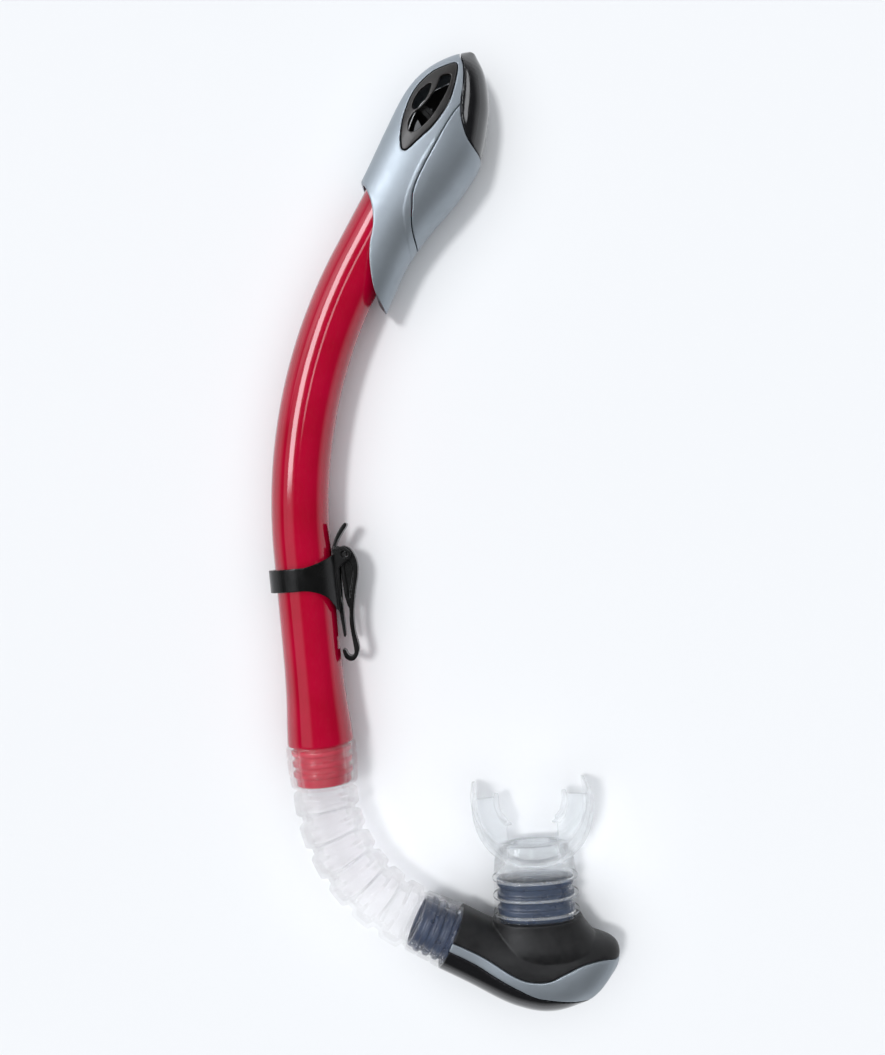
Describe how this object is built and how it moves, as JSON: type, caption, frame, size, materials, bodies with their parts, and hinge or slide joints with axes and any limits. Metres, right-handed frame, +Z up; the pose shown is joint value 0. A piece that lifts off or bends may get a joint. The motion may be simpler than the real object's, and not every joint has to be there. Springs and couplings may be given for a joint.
{
  "type": "dry-top snorkel",
  "caption": "Curved snorkel tube with a float-valve dry top, flexible hose, purge chamber, bite mouthpiece and hinged mask keeper.",
  "frame": {"origin": "bottom centre of the bounding box of the snorkel as it lies on its side", "axes": "+Z up, +Y along the snorkel towards the dry top, +X from the barrel towards the mouthpiece"},
  "size_m": [0.1644, 0.4472, 0.0392],
  "materials": {
    "crimson_tube": "glossy",
    "silver_shell": "satin metallic",
    "gloss_black": "glossy",
    "soft_black": "soft touch matt",
    "matt_black": "matt",
    "bezel_grey": "satin",
    "clear_silicone": "translucent satin",
    "navy_plastic": "satin",
    "pin_steel": "brushed"
  },
  "bodies": {
    "tube": {"barrel": "crimson_tube", "dry_top_base": "matt_black", "valve_seat": "navy_plastic", "arm_pin": "pin_steel", "dry_top_cover": "silver_shell", "dry_top_rear_cover": "silver_shell", "dry_top_cap": "gloss_black", "window_bezel_front": "bezel_grey", "window_bezel_back": "bezel_grey"},
    "float": {"float": "matt_black"},
    "valve": {"valve_arm": "matt_black", "valve_seal": "clear_silicone"},
    "keeper": {"keeper_ring": "matt_black", "keeper_pin": "pin_steel"},
    "keeper_lever": {"keeper_lever": "matt_black"},
    "hose": {"flex_hose": "clear_silicone"},
    "chamber": {"chamber_body": "navy_plastic", "chamber_cover": "soft_black", "chamber_trim": "silver_shell", "purge_cover": "gloss_black", "purge_valve_seat": "navy_plastic", "mouthpiece": "clear_silicone"},
    "purge_valve": {"purge_valve": "clear_silicone"}
  },
  "joints": [
    {"name": "float_lift", "type": "slide", "parent": "tube", "child": "float", "axis": [0.4695, 0.8829, 0], "range_m": [0, 0.003]},
    {"name": "valve_rock", "type": "hinge", "parent": "tube", "child": "valve", "pos_m": [0.00595, 0.1756, 0.0196], "axis": [0, 0, 1], "range_deg": [0, 25]},
    {"name": "keeper_slide", "type": "slide", "parent": "tube", "child": "keeper", "axis": [-0.0958, 0.9954, 0], "range_m": [-0.022, 0.008]},
    {"name": "keeper_open", "type": "hinge", "parent": "keeper", "child": "keeper_lever", "pos_m": [-0.04652, -0.01148, 0.0196], "axis": [0, 0, 1], "range_deg": [0, 60]},
    {"name": "hose_swivel", "type": "hinge", "parent": "tube", "child": "hose", "pos_m": [-0.05618, -0.1187, 0.0196], "axis": [-0.0958, 0.9954, 0], "range_deg": [-60, 0]},
    {"name": "hose_bend", "type": "hinge", "parent": "hose", "child": "chamber", "pos_m": [-0.03984, -0.15712, 0.0196], "axis": [0, 0, 1], "range_deg": [-30, 25], "stiffness_Nm_per_rad": 0.3, "deforming": ["flex_hose"]},
    {"name": "purge_lift", "type": "slide", "parent": "chamber", "child": "purge_valve", "axis": [-0.4163, -0.9092, 0], "range_m": [0, 0.0015], "stiffness_N_per_m": 20}
  ],
  "couplings": [
    {"joint": "valve_rock", "follows": "float_lift", "rad_per_m": 145.4}
  ]
}
